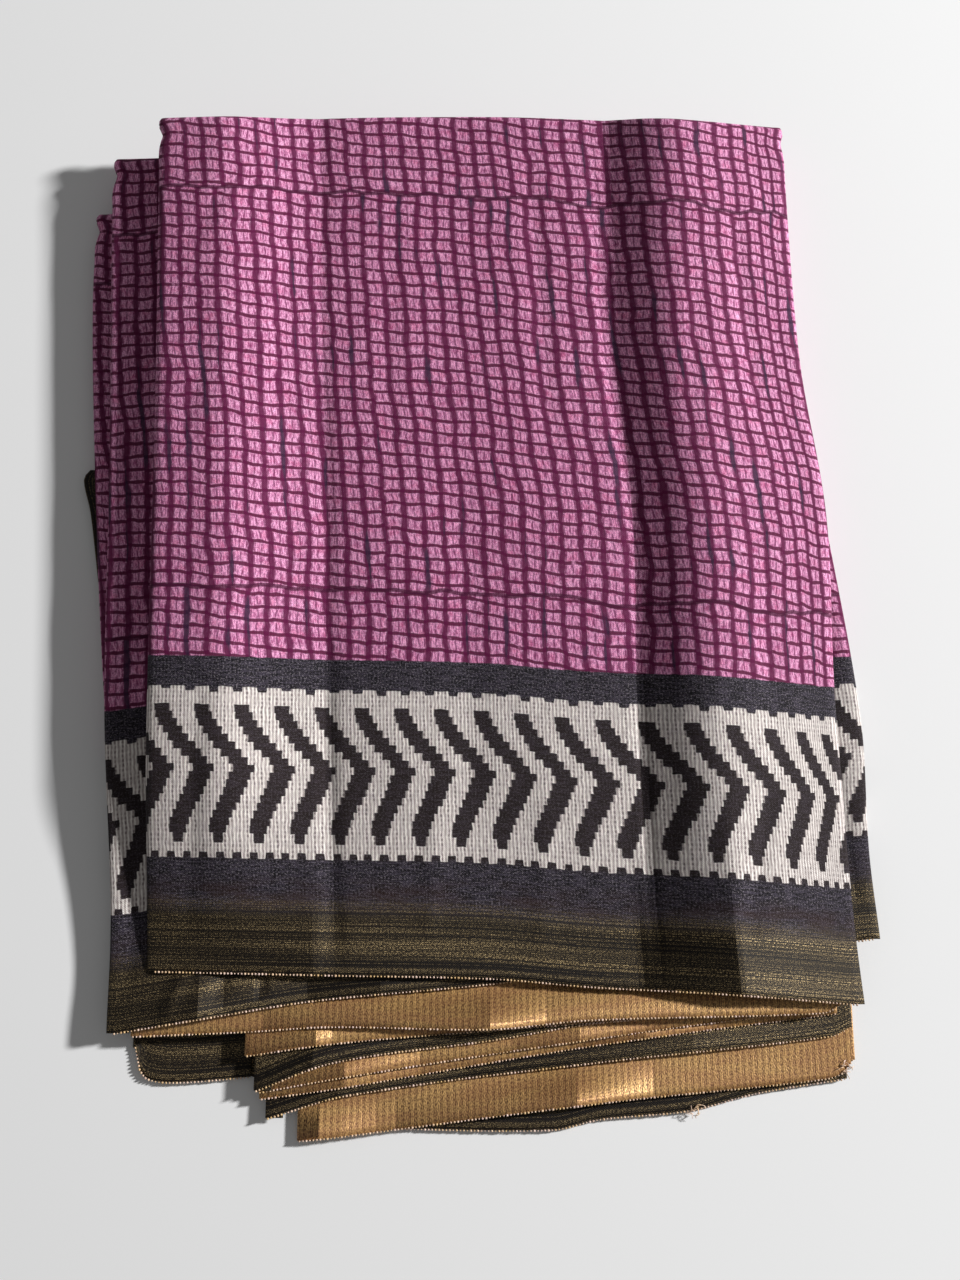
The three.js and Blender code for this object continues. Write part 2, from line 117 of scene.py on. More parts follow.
BOTTOM = {
    "left": [(-250, -196), (60, -236), (310, -246)],
    "right": [(-255, 217), (50, 221), (330, 212)],
    "front": [(-196, -250), (-64, -282), (42, -284), (126, -274), (217, -256)],
    "back": [(-246, 310), (212, 330)],
    "level": 0,
    "pile": 0,
    "flat": (460, 610),
}

# Border edges fanned out at the front, from the highest: piece, level, the side that shows, the
# selvedge as rows of (x, y), and the lift of the free selvedge as rows of (x, lift), with a
# pressed crease at each row in between.
FAN = [
    ("border_reverse_1", 8, "reverse",
     [(-210, -241), (-140, -238), (-90, -235), (7, -236), (66, -231), (208, -227), (217, -223)],
     [(-210, 0), (-130, 0), (6, 4.8), (40, 2.4), (217, 0)]),
    ("border_reverse_2", 7, "reverse",
     [(-141, -252), (-90, -245), (7, -237), (200, -223), (212, -219)],
     [(-141, 0), (-98, 1.9), (-88, 1.0), (-50, 0.4), (212, 0)]),
    ("border_face_1", 6, "border",
     [(-135, -272), (-90, -256), (7, -243), (72, -233), (214, -222)],
     [(-135, 0.2), (-100, 2.0), (-38, 0.2), (214, 0)]),
    ("border_reverse_3", 5, "reverse",
     [(-133, -273), (-81, -264), (72, -242), (214, -224)],
     [(-133, 0), (-81, 2.4), (-36, 0.2), (20, 0.2), (60, 1.2), (100, 0), (214, 0)]),
    ("border_reverse_4", 4, "reverse",
     [(-132, -277), (-81, -270), (72, -246), (216, -228)],
     [(-132, 0), (-81, 1.8), (-36, 0.1), (60, 0.1), (100, 1.4), (140, 0), (216, 0)]),
    ("border_face_2", 3, "border",
     [(-128, -288), (-81, -275), (72, -256), (214, -241), (225, -236)],
     [(-128, 0.4), (-85, 1.6), (-10, 0), (128, 1.8), (225, 0)]),
    ("border_reverse_5", 2, "reverse",
     [(-109, -301), (-80, -298), (66, -280), (208, -266), (220, -262), (226, -255)],
     [(-109, 0), (-96, 1.6), (-82, 1.2), (-62, 0.2), (-50, 0), (58, 3.4), (104, 0.7), (226, 0)]),
    ("border_face_3", 1, "border",
     [(-64, -294), (42, -295), (72, -289), (126, -284), (168, -274), (221, -266)],
     [(-64, 0), (221, 0)]),
    ("third_leaf_corner", 1, "border",
     [(-210, -248), (-206, -262), (-198, -267), (-180, -268), (-138, -265)],
     [(-210, 0), (-138, 0)]),
]
FREE_EDGE = 26  # width along a selvedge that is free to lift
SECOND_LIFT = [(-224, 1.2), (-169, 4.0), (-154, 2.4), (-104, 0), (-60, 1.4), (20, 0), (243, 0)]
TOP_CREASE = 311  # mm from the top leaf's left edge to its pressed crease, at the right ridge's foot
# How far the twice-folded corners at the back stand in: rows of (mm from the back edge, inset).
CORNER_NOTCHES = [(0, 1.4), (4, -0.6), (8, 1.0), (13, 2.4), (19, 0.8), (26, -0.3), (36, 0)]
CORNER_WIDTH = 24  # distance from the side over which a corner's shape fades
RIGHT_CORNER = 0.6  # the shape of a right corner, as a share of a left corner's
INNER_CORNER = [(30, -245), (36, -247), (88, -256), (112, -262), (118, -258)]  # rows of (y, x)

# Lift of the top leaf over the folds beneath it: rows of (mm from its left edge, lift).
TOP_WIDTH = 435
RIDGES = [
    (0, 5.8), (10, 6.3), (26, 6.7), (42, 7.0), (54, 6.4), (72, 4.1), (92, 1.6), (106, 0.4),
    (113, 0.0), (118, 0.3), (160, 0.7), (200, 0.5), (250, 0.7), (296, 0.3), (308, 0.1), (311, 0),
    (315, 0.8), (325, 2.6), (338, 4.9), (350, 6.1), (362, 6.3), (384, 4.9), (404, 3.0), (421, 1.2),
    (TOP_WIDTH, 0),
]
# The same at the selvedge, where the ridges flatten into straight pressed slopes.
SELVEDGE_RIDGES = [
    (0, 0.6), (50, 1.8), (103, 3.2), (110, 2.9), (200, 2.2), (302, 1.2), (361, 7.6), (400, 3.2),
    (TOP_WIDTH, 0),
]

# Where the repeat of the print falls across the top leaf: rows of (share of its width, repeats).
REPEAT = 25.5
TOP_REPEATS = [
    (0, -0.42), (0.025, 0), (0.319, 5), (0.616, 10), (0.678, 11), (0.743, 12), (0.808, 13),
    (0.866, 14), (0.921, 15), (0.965, 16), (1, 17),
]

# Soft creases of a leaf: rows of (u, v, u, v, width, depth), from one end to the other. u and v
# are measured from the leaf's left edge and from its selvedge, and a minus depth is a ridge.
TOP_CREASES = [
    (113, 0, 110, 205, 5, 0.9), (113, 150, 104, 400, 7, 0.6), (20, 20, 30, 190, 6, 0.5),
    (62, 250, 74, 560, 9, -0.6), (150, 300, 160, 545, 8, 0.4), (205, 60, 198, 330, 10, 0.4),
    (262, 330, 256, 560, 7, 0.6), (312, 0, 309, 240, 3.5, 0.7), (309, 220, 300, 560, 4.5, 0.8),
    (286, 190, 322, 235, 6, 0.5), (366, 20, 392, 130, 6, 0.8), (398, 110, 388, 330, 7, 0.5),
    (352, 330, 372, 480, 6, 0.5), (404, 350, 396, 540, 6, 0.7), (20, 470, 58, 545, 6, 0.6),
    (90, 505, 180, 552, 7, 0.4), (230, 540, 330, 556, 6, 0.5), (340, 520, 420, 548, 6, 0.6),
    (12, 330, 34, 410, 5, 0.4), (170, 20, 182, 120, 6, -0.4), (240, 10, 250, 150, 7, -0.3),
]
SECOND_CREASES = [
    (6, 20, 16, 150, 5, 0.6), (20, 140, 8, 330, 5, 0.6), (10, 300, 24, 460, 5, 0.7),
    (4, 470, 30, 560, 5, 0.7), (60, 5, 74, 40, 5, 0.8), (30, 2, 44, 34, 5, -0.7),
    (88, 4, 92, 30, 3, 0.9), (458, 20, 452, 130, 4, 0.6), (450, 120, 460, 250, 4, 0.5),
]
THIRD_CREASES = [
    (8, 150, 14, 300, 4, 0.6), (14, 290, 6, 420, 4, 0.7), (4, 400, 20, 480, 4, 0.6),
]
BOTTOM_CREASES = [
    (60, 40, 76, 300, 9, 0.18), (150, 200, 138, 520, 10, 0.22), (236, 30, 250, 330, 9, 0.18),
    (330, 180, 318, 470, 10, 0.22), (392, 60, 380, 260, 8, 0.18), (96, 380, 60, 540, 8, 0.22),
]

CREASE_END = 0.7  # how bluntly a soft crease fades at its ends; less is blunter
CREASE_RELIEF = 0.5  # share of a soft crease's depth that counts towards a leaf's relief

# -------- curves


def mix(a, b, share):
    return a + (b - a) * share


def smoothstep(value):
    share = np.clip(value, 0, 1)
    return share * share * (3 - 2 * share)


def curve(rows):
    """A smooth curve through rows of (at, value); it stays level past its ends."""
    at, value = np.array(rows, float).T
    near = np.arange(len(at))
    before, after = np.maximum(near - 1, 0), np.minimum(near + 1, len(at) - 1)
    slope = (value[after] - value[before]) / (at[after] - at[before])

    def read(x):
        i = np.clip(np.searchsorted(at, x, side="right") - 1, 0, len(at) - 2)
        length = at[i + 1] - at[i]
        share = np.clip((x - at[i]) / length, 0, 1)
        bend = share * (1 - share) * length * ((1 - share) * slope[i] - share * slope[i + 1])
        return mix(value[i], value[i + 1], smoothstep(share)) + bend

    return read


def straight(rows):
    """Straight lines through rows of (at, value); level past the ends."""
    at, value = np.array(rows, float).T
    return lambda x: np.interp(x, at, value)


WAVES = 6  # waves that run across each other to make a surface uneven


def uneven(x, y, size, length, seed):
    """Gentle unevenness up to a size over a plane, with bumps about as long as length."""
    random = np.random.default_rng(seed)
    total = 0
    for _ in range(WAVES):
        heading, phase = random.uniform(0, 2 * math.pi, 2)
        wave = length * random.uniform(0.6, 1.7)
        along = x * math.cos(heading) + y * math.sin(heading)
        total = total + np.sin(along * 2 * math.pi / wave + phase)
    return size * (total / WAVES)


def crease_depth(creases, u, v):
    """How far the cloth sinks at (u, v) into soft creases that fade towards their ends."""
    depth = np.zeros(np.broadcast(u, v).shape)
    for u0, v0, u1, v1, width, sink in creases:
        run = np.array([u1 - u0, v1 - v0], float)
        length = np.hypot(*run)
        along = np.clip(((u - u0) * run[0] + (v - v0) * run[1]) / length**2, 0, 1)
        away = np.hypot(u - u0 - along * run[0], v - v0 - along * run[1])
        depth += sink * np.exp(-((away / width) ** 2)) * np.sin(math.pi * along) ** CREASE_END
    return depth


# -------- the packet's form


def with_curves(table):
    """A leaf with its edges as curves; front and back are read by the share across the leaf."""
    front, back = curve(table["front"]), curve(table["back"])
    front_x = table["front"][0][0], table["front"][-1][0]
    back_x = table["back"][0][0], table["back"][-1][0]
    return SimpleNamespace(
        left=curve(table["left"]),
        right=curve(table["right"]),
        front=lambda share: front(mix(*front_x, share)),
        back=lambda share: back(mix(*back_x, share)),
        level=table["level"],
        pile=table["pile"],
        flat=table["flat"],
    )


top, second, third, bottom = (with_curves(table) for table in (TOP, SECOND, THIRD, BOTTOM))
field_ridges, selvedge_ridges = curve(RIDGES), straight(SELVEDGE_RIDGES)
corner_notch = curve(CORNER_NOTCHES)


def rise(y):
    return smoothstep((y - RISE_START) / (RISE_END - RISE_START))


def swell(y):
    return 1 + SWELL * np.clip((y - RISE_END) / SWELL_LENGTH, 0, 1)


def fan_height(level, x):
    """Underside of the leaf at a level of the fan: a step per level, less the drape on the left."""
    hang = DRAPE * smoothstep((DRAPE_START - x) / DRAPE_LENGTH)
    return STEP * level - hang * min((level - 1) / DRAPE_LEVELS, 1)


def height(leaf, x, y):
    """Underside of a leaf anywhere in the packet, without the top leaf's ridges."""
    at_fan = STEP * leaf.level if leaf is third else fan_height(leaf.level, x)
    return mix(at_fan, leaf.pile * swell(y), rise(y))


def ridges(x, y):
    across = (x - top.left(y)) / (top.right(y) - top.left(y)) * TOP_WIDTH
    return mix(selvedge_ridges(across), field_ridges(across), rise(y))


def outer_height(leaf, x, y):
    """Outer surface of a leaf, with the top leaf's ridges."""
    return height(leaf, x, y) + WALL + (ridges(x, y) if leaf is top else 0)


def room_under(leaf, x, y):
    """Height between a leaf and the one that shows below it."""
    below = {id(top): second, id(second): third}.get(id(leaf))
    floor = 0 if below is None else height(below, x, y) + WALL
    return outer_height(leaf, x, y) - floor


# -------- leaves of cloth


def stations(length, start_turn, end_turn):
    """Places across or along a leaf: share from one end to the other, degrees round a folded
    edge, and how far past it the cloth has run back in."""
    count = max(2, round(length / GRID))
    rows = [(share, 0, 0) for share in np.linspace(0, 1, count + 1)]
    turn = [(angle, 0) for angle in TURN_ANGLES] + [(180, TUCK)]
    if start_turn:
        rows = [(0, *place) for place in reversed(turn)] + rows
    if end_turn:
        rows = rows + [(1, *place) for place in turn]
    return np.array(rows, float).T


def turned(angle, tuck, reach):
    """Inset, share of the fold's height and length of cloth at an angle round a folded edge."""
    radians = np.radians(angle)
    return reach * (1 - np.sin(radians)) + tuck, (1 - np.cos(radians)) / 2, reach * radians + tuck


def corner_shape(from_left, from_right, from_back):
    """How far to the right the twice-folded corners at the back move the cloth."""
    left = smoothstep(1 - from_left / CORNER_WIDTH)
    right = smoothstep(1 - from_right / CORNER_WIDTH)
    return corner_notch(from_back) * (left - RIGHT_CORNER * right)


def leaf_cloth(leaf, top_of, fold_of, sides="left right back", reach=FOLD_REACH, upwards=1,
               repeats=None, shrink=lambda share: 1, creases=(), pressed=(), relief=lambda x, y: 0 * x):
    """Points and cloth coordinates of a leaf: a sheet whose named sides are folded edges.

    top_of(x, y) is its outer surface and fold_of(x, y) the height of its folded edges, which
    turn up where upwards is -1. repeats gives the print's repeats across the leaf, and shrink
    how the print is drawn in along it. pressed are sharp creases along the leaf, in mm from its
    left edge, and relief(x, y) is a height that its material adds as bump. Rows run towards the
    back and columns to the right.
    """
    middle_y = mix(leaf.front(0.5), leaf.back(0.5), 0.5)
    width = leaf.right(middle_y) - leaf.left(middle_y)
    share, angle, tuck = stations(width, "left" in sides, "right" in sides)
    pressed = (np.array(pressed, float) - reach) / (width - 2 * reach)
    for crease in pressed:
        share[np.argmin(np.abs(share - crease))] = crease
    along = stations(leaf.back(0.5) - leaf.front(0.5), False, "back" in sides)
    run, end_angle, end_tuck = (row[:, None] for row in along)

    front_y, back_y = leaf.front(share), leaf.back(share)
    end_inset, end_turn, end_arc = turned(end_angle, end_tuck, reach)
    flat_back = back_y - reach * ("back" in sides)
    y = np.where(end_arc > 0, back_y - end_inset, mix(front_y, flat_back, run))
    inset, turn, arc = turned(angle, tuck, reach)
    left_x = leaf.left(y) + np.where("left" in sides, inset, 0)
    right_x = leaf.right(y) - np.where("right" in sides, inset, 0)
    x = mix(left_x, right_x, share)
    if "back" in sides:
        x = x + corner_shape(share * width, (1 - share) * width, back_y - y)

    drop = fold_of(x, y) * np.minimum((turn**3 + end_turn**3) ** (1 / 3), 1)
    outward = np.where(share > 0.5, arc, -arc)
    u = repeats(share) * REPEAT if repeats else share * width
    v = (mix(front_y, flat_back, run) - front_y) * shrink(share)
    sunk = crease_depth(creases, share * width + outward, v + end_arc)
    z = top_of(x, y) - upwards * (drop + sunk)
    return SimpleNamespace(
        points=np.stack([x, y, z], axis=-1),
        cloth=np.stack(np.broadcast_arrays(u + outward, v + end_arc), axis=-1),
        relief=relief(x, y) - CREASE_RELIEF * sunk,
        creased=np.isin(share, pressed),
        flat=angle == 0,
    )


def grid_faces(rows, columns):
    index = np.arange(rows * columns).reshape(rows, columns)
    corners = index[:-1, :-1], index[:-1, 1:], index[1:, 1:], index[1:, :-1]
    return np.stack(corners, axis=-1).reshape(-1, 4)


def mesh_piece(name, points, cloth, faces, material, relief=None):
    """An object of quads in the CAD frame. Its UV maps, in metres, are the cloth coordinates and
    the relief, which is the same in both of its coordinates."""
    mesh = bpy.data.meshes.new(name)
    vertices = (points.reshape(-1, 3) + PLACE) * MM
    mesh.from_pydata(vertices.tolist(), [], faces.tolist())
    relief = np.zeros(len(vertices)) if relief is None else relief.ravel()
    for layer_name, values in (("cloth", cloth.reshape(-1, 2)), ("relief", np.stack([relief] * 2, 1))):
        layer = mesh.uv_layers.new(name=layer_name)
        layer.data.foreach_set("uv", (values[faces.ravel()] * MM).ravel())
    mesh.polygons.foreach_set("use_smooth", np.ones(len(faces), bool))
    mesh.materials.append(material)
    piece = bpy.data.objects.new(name, mesh)
    bpy.context.scene.collection.objects.link(piece)
    return piece


def sharpen(mesh, creased):
    """Mark the edges that run along a grid's creased columns as sharp."""
    ends = np.zeros(2 * len(mesh.edges), np.int32)
    mesh.edges.foreach_get("vertices", ends)
    first, second_end = ends.reshape(-1, 2).T
    along = np.abs(first - second_end) == len(creased)
    mesh.edges.foreach_set("use_edge_sharp", along & creased[first % len(creased)])


def sheet_piece(name, sheet, material, flip=False):
    """A leaf as a thin wall of cloth, grown inwards from its outer surface."""
    faces = grid_faces(*sheet.points.shape[:2])
    faces = faces[:, ::-1] if flip else faces
    piece = mesh_piece(name, sheet.points, sheet.cloth, faces, material, sheet.relief)
    sharpen(piece.data, sheet.creased)
    wall = piece.modifiers.new("cloth thickness", "SOLIDIFY")
    wall.thickness = CLOTH * MM
    wall.offset = -1
    return piece


def declare(piece, node, flat, trims=()):
    """Attach a sheet and its trims to the root body and hide the CAD part that they stand for. flat, in
    millimetres, is not used.
    """
    for part in (piece, *trims):
        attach(part, "root")
        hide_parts(node)
    flat[0] * MM
    flat[1] * MM


# -------- nodes


def plug(tree, socket, value):
    """Link a node's input to a signal or an output, or set it to a plain value."""
    if isinstance(value, Signal):
        value = value.socket
    if isinstance(value, bpy.types.NodeSocket):
        tree.links.new(value, socket)
    else:
        socket.default_value = value


def add_node(tree, kind, links=(), **settings):
    """A node with its settings, and its inputs linked or set, by their names or numbers."""
    node = tree.nodes.new(kind)
    for name, value in settings.items():
        setattr(node, name, value)
    for name, value in dict(links).items():
        plug(tree, node.inputs[name], value)
    return node


# -------- stitches along the selvedges

STITCH_PITCH = 2.1
STITCH_LENGTH = 1.3
STITCH_WIDTH = 1.25
STITCH_OUT = 0.35  # how far a stitch's middle stands out from the selvedge
STITCH_UNEVENNESS = 0.3  # share by which a stitch is longer or shorter than the others

# Frayed places: piece, and the middle of its loose threads (x, y, z).
FRAYS = {"border_reverse_5": (220, -261, 4.2), "border_face_3": (128, -285, 2.9)}
FRAY_THREADS = 12
FRAY_SPREAD = 2.6
FRAY_LENGTHS = (3, 7)
FRAY_CURL = 2.4  # how far a thread turns from end to end, in radians
FRAY_RADIUS = 0.2
FRAY_LIFT = 1.2
FRAY_RINGS = 8
FRAY_SIDES = 4


def stitch_tree():
    """A node group that lays a small rounded stitch at even steps along a line."""
    tree = bpy.data.node_groups.new("selvedge_stitches", "GeometryNodeTree")
    kinds = {"Line": "Geometry", "Pitch": "Float", "Length": "Float", "Width": "Float",
             "Unevenness": "Float", "Seed": "Int", "Thread": "Material"}
    for name, kind in kinds.items():
        tree.interface.new_socket(name, in_out="INPUT", socket_type=f"NodeSocket{kind}")
    tree.interface.new_socket("Stitches", in_out="OUTPUT", socket_type="NodeSocketGeometry")

    def add(kind, links=(), **settings):
        return add_node(tree, kind, links, **settings).outputs

    given = add("NodeGroupInput")
    line = add("GeometryNodeMeshToCurve", {"Mesh": given["Line"]})[0]
    paced = {"Curve": line, "Length": given["Pitch"]}
    steps = add("GeometryNodeResampleCurve", paced, mode="LENGTH")[0]
    bead = add("GeometryNodeMeshUVSphere", {"Segments": 6, "Rings": 4, "Radius": 0.5})[0]
    least = add("ShaderNodeMath", {0: 1.0, 1: given["Unevenness"]}, operation="SUBTRACT")[0]
    most = add("ShaderNodeMath", {0: 1.0, 1: given["Unevenness"]})[0]
    share = add("FunctionNodeRandomValue", {2: least, 3: most, 8: given["Seed"]})[1]
    size = add("ShaderNodeCombineXYZ", {0: given["Length"], 1: given["Width"], 2: given["Width"]})[0]
    scale = add("ShaderNodeVectorMath", {0: size, "Scale": share}, operation="SCALE")[0]
    tangent = add("GeometryNodeInputTangent")[0]
    turn = add("FunctionNodeAlignRotationToVector", {"Vector": tangent}, axis="X")[0]
    beads = add("GeometryNodeInstanceOnPoints",
                {"Points": steps, "Instance": bead, "Rotation": turn, "Scale": scale})[0]
    real = add("GeometryNodeRealizeInstances", {"Geometry": beads})[0]
    threaded = add("GeometryNodeSetMaterial", {"Geometry": real, "Material": given["Thread"]})[0]
    add("NodeGroupOutput", {"Stitches": threaded})
    return tree


def selvedge_stitches(node, sheet, tree, thread, seed):
    """Stitches along a leaf's selvedge, the first row of its points, as a plain mesh."""
    edge = (sheet.points[0, sheet.flat] + PLACE - (0, STITCH_OUT, 0)) * MM
    line = bpy.data.meshes.new(f"{node}_stitches")
    line.from_pydata(edge.tolist(), [(i, i + 1) for i in range(len(edge) - 1)], [])
    piece = bpy.data.objects.new(f"{node}_stitches", line)
    bpy.context.scene.collection.objects.link(piece)
    nodes = piece.modifiers.new("stitches", "NODES")
    nodes.node_group = tree
    values = {"Pitch": STITCH_PITCH * MM, "Length": STITCH_LENGTH * MM, "Width": STITCH_WIDTH * MM,
              "Unevenness": STITCH_UNEVENNESS, "Seed": seed, "Thread": thread}
    for name, value in values.items():
        nodes[tree.interface.items_tree[name].identifier] = value
    made = piece.evaluated_get(bpy.context.evaluated_depsgraph_get())
    mesh = bpy.data.meshes.new_from_object(made)
    piece.modifiers.remove(nodes)
    piece.data = mesh
    return piece


def loose_threads(node, thread, seed):
    """Short curled threads about a frayed place of a selvedge, as one mesh of thin tubes."""
    random = np.random.default_rng(seed)
    share = np.linspace(0, 1, FRAY_RINGS)[:, None]
    around = np.linspace(0, 2 * math.pi, FRAY_SIDES + 1)
    tubes = []
    for _ in range(FRAY_THREADS):
        heading, curl = random.uniform(0, 2 * math.pi), random.uniform(-FRAY_CURL, FRAY_CURL)
        angle = heading + curl * share
        pace = random.uniform(*FRAY_LENGTHS) / len(share)
        x, y, z = np.array(FRAYS[node]) + (*random.uniform(-FRAY_SPREAD, FRAY_SPREAD, 2), 0)
        out = FRAY_RADIUS * np.cos(around)
        x = x + np.cumsum(np.cos(angle), 0) * pace - np.sin(angle) * out
        y = y + np.cumsum(np.sin(angle), 0) * pace + np.cos(angle) * out
        z = z + np.sin(math.pi * share) * random.uniform(0, FRAY_LIFT) + FRAY_RADIUS * np.sin(around)
        tubes.append(np.stack([x, y, z], axis=-1))
    rows, columns = tubes[0].shape[:2]
    faces = [grid_faces(rows, columns) + rows * columns * i for i in range(len(tubes))]
    points = np.array(tubes)
    return mesh_piece(f"{node}_threads", points, points[..., :2], np.concatenate(faces), thread)


# -------- the four long leaves

# How uneven the leaves are: size and length of their bumps, and a seed.
TOP_UNEVEN = (0.35, 70, 3)
SECOND_UNEVEN = (0.3, 60, 5)
THIRD_UNEVEN = (0.3, 60, 7)

SECOND_SHRINK = curve([(0, 0.985), (0.5, 1), (1, 1.1)])
THIRD_SELVEDGE = -262  # y of the third leaf's selvedge, below the border edges
BOTTOM_FOLD = 2.6  # height of the lowest leaf's turned-up edges
BOTTOM_REACH = 3  # distance over which it curves up to them
BOTTOM_PRESS = 0.3  # how far the lowest cloth is pressed flat below the plane that it rests on


def fold_height(leaf):
    return lambda x, y: np.maximum(FOLD_SHARE * room_under(leaf, x, y), FOLD_LEAST)


def top_surface(x, y):
    return outer_height(top, x, y) + uneven(x, y, *TOP_UNEVEN) * rise(y)


def free_lift(leaf, lift, reach):
    """How far a leaf's cloth rises near its selvedge, as a function of x and y."""
    lifted = straight(lift)

    def lift_at(x, y):
        share = (x - leaf.left(y)) / (leaf.right(y) - leaf.left(y))
        return lifted(x) * smoothstep(1 - (y - leaf.front(share)) / reach)

    return lift_at


second_lift = free_lift(second, SECOND_LIFT, 2 * FREE_EDGE)


def second_surface(x, y):
    return height(second, x, y) + WALL + uneven(x, y, *SECOND_UNEVEN) + second_lift(x, y)


def third_surface(x, y):
    return height(third, x, y) + WALL + uneven(x, y, *THIRD_UNEVEN)


def build_piles(printed, tree, thread):
    """The four leaves that run the whole length of the packet."""
    sheet = leaf_cloth(top, top_surface, fold_height(top), repeats=curve(TOP_REPEATS),
                       creases=TOP_CREASES, pressed=[TOP_CREASE], relief=ridges)
    piece = sheet_piece("top_leaf_cloth", sheet, printed)
    trims = [selvedge_stitches("top_leaf", sheet, tree, thread, top.level)]
    declare(piece, "top_leaf", top.flat, trims)

    pressed = [x - SECOND["front"][0][0] for x, _ in SECOND_LIFT[1:-1]]
    sheet = leaf_cloth(second, second_surface, fold_height(second), shrink=SECOND_SHRINK,
                       creases=SECOND_CREASES, pressed=pressed, relief=second_lift)
    piece = sheet_piece("second_leaf_cloth", sheet, printed)
    trims = [selvedge_stitches("second_leaf", sheet, tree, thread, second.level)]
    declare(piece, "second_leaf", second.flat, trims)

    sheet = leaf_cloth(third, third_surface, fold_height(third), creases=THIRD_CREASES)
    sheet.cloth[..., 1] += THIRD["front"][0][1] - THIRD_SELVEDGE
    piece = sheet_piece("third_leaf_cloth", sheet, printed)
    declare(piece, "third_leaf", third.flat)

    sheet = leaf_cloth(bottom, lambda x, y: 0 * x - BOTTOM_PRESS, lambda x, y: 0 * y + BOTTOM_FOLD,
                       reach=BOTTOM_REACH, upwards=-1, creases=BOTTOM_CREASES)
    sheet.cloth[..., 0] *= -1
    piece = sheet_piece("bottom_leaf_cloth", sheet, printed, flip=True)
    declare(piece, "bottom_leaf", bottom.flat)


# -------- border edges

FAN_FOLD = 1.1  # height of the folded ends of a border edge
FAN_REACH = 1.6  # distance over which it curves down to them
FAN_UNEVEN = (0.12, 45)  # size and length of its bumps
FAN_SHIFT = 31  # how far its cloth is shifted from that of the next one

INNER_ROWS = 26
INNER_COLUMNS = 10
INNER_TUCK = 8  # how far the inner border's corner runs in below the third leaf
INNER_SHARE = 0.45  # its height, as a share of the third leaf's
INNER_LIFT = 1.5
INNER_UNEVEN = (0.3, 20, 2)
INNER_SELVEDGE = 4  # distance from its edge to the cloth's own selvedge
INNER_WIDTH = 13


def fan_leaf(level, selvedge, lift):
    """A border edge as a leaf from its selvedge back to where it ends inside the packet, with
    its outer surface and its lift."""
    left_x, right_x = selvedge[0][0], selvedge[-1][0]
    edge = curve(selvedge)
    leaf = SimpleNamespace(
        left=lambda y: 0 * y + left_x,
        right=lambda y: 0 * y + right_x,
        front=lambda share: edge(mix(left_x, right_x, share)),
        back=lambda share: 0 * share + FAN_BACK,
    )

    lift_at = free_lift(leaf, lift, FREE_EDGE)

    def surface(x, y):
        return fan_height(level, x) + WALL + lift_at(x, y) + uneven(x, y, *FAN_UNEVEN, level)

    return leaf, surface, lift_at


def build_fan(printed, gold, tree, thread):
    """The fanned border edges, whose ends are folded back under them."""
    for name, level, side, selvedge, lift in FAN:
        leaf, surface, relief = fan_leaf(level, selvedge, lift)
        pressed = [x - selvedge[0][0] for x, _ in lift[1:-1]]
        sheet = leaf_cloth(leaf, surface, lambda x, y: 0 * y + FAN_FOLD, sides="left right",
                           reach=FAN_REACH, pressed=pressed, relief=relief)
        sheet.cloth[..., 0] += level * FAN_SHIFT
        width = selvedge[-1][0] - selvedge[0][0] + 2 * TUCK
        length = FAN_BACK - np.mean([row[1] for row in selvedge])
        material = gold if side == "reverse" else printed
        trims = [selvedge_stitches(name, sheet, tree, thread, level)]
        if name in FRAYS:
            trims.append(loose_threads(name, thread, level))
        declare(sheet_piece(f"{name}_cloth", sheet, material), name, (width, length),
                trims)


def build_inner_corner(printed):
    """The corner of an inner border that stands out of the folds on the left."""
    rows = np.linspace(INNER_CORNER[0][0], INNER_CORNER[-1][0], INNER_ROWS)
    outer = curve(INNER_CORNER)
    share = np.linspace(0, 1, INNER_COLUMNS)
    y = rows[:, None] + 0 * share
    x = mix(outer(y), third.left(y) + INNER_TUCK, share)
    z = INNER_SHARE * height(third, x, y) + INNER_LIFT + uneven(x, y, *INNER_UNEVEN)
    sheet = SimpleNamespace(
        points=np.stack([x, y, z], axis=-1),
        cloth=np.stack([y, (x - outer(y)) + INNER_SELVEDGE], axis=-1),
        relief=0 * x,
        creased=share < 0,
    )
    piece = sheet_piece("inner_border_corner_cloth", sheet, printed)
    declare(piece, "inner_border_corner", (INNER_WIDTH, rows[-1] - rows[0]))


# -------- folds between the leaves

LIPS = 3  # folds that show between one leaf's edge and the next leaf
LIP_DEPTH = 14  # how far the cloth of such a fold reaches in
# The section of a fold: shares of its depth inwards and of its height upwards.
LIP_SECTION = [(1, 1), (0.35, 1), (0.1, 0.86), (0, 0.5), (0.1, 0.14), (0.35, 0), (1, 0)]
LIP_FILL = 0.96  # share of its room that it fills
LIP_INSETS = (1.0, 4.5)  # how far it stands in from the leaf above
LIP_UNEVEN = (1.2, 150)  # size and length of its bends
LIP_CLOTH = 12  # width of the strip of cloth that it is cut from
LIP_SIDE = 540  # length of that strip along one side of the packet
LIP_GRID = 6
LIP_START = 28  # y from the selvedge to the first folds behind it
LONG_SIDE = 560  # from the selvedges to the back of the packet


def loop_places():
    """Shares across and along the packet, once round its outline from the front left corner."""
    across = np.linspace(0, 1, round(TOP_WIDTH / LIP_GRID) + 1)
    along = np.linspace(0, 1, round(LONG_SIDE / LIP_GRID) + 1)
    front = [(share, 0) for share in across[:-1]]
    right = [(1, run) for run in along[:-1]]
    back = [(share, 1) for share in across[:0:-1]]
    left = [(0, run) for run in along[:0:-1]]
    return np.array(front + right + back + left).T


def lip_ring(leaf, inset):
    """Points round the packet, set in from a leaf's outline."""
    share, run = loop_places()
    y = mix(leaf.front(share) + LIP_START, leaf.back(share) - inset, run)
    return mix(leaf.left(y) + inset, leaf.right(y) - inset, share), y


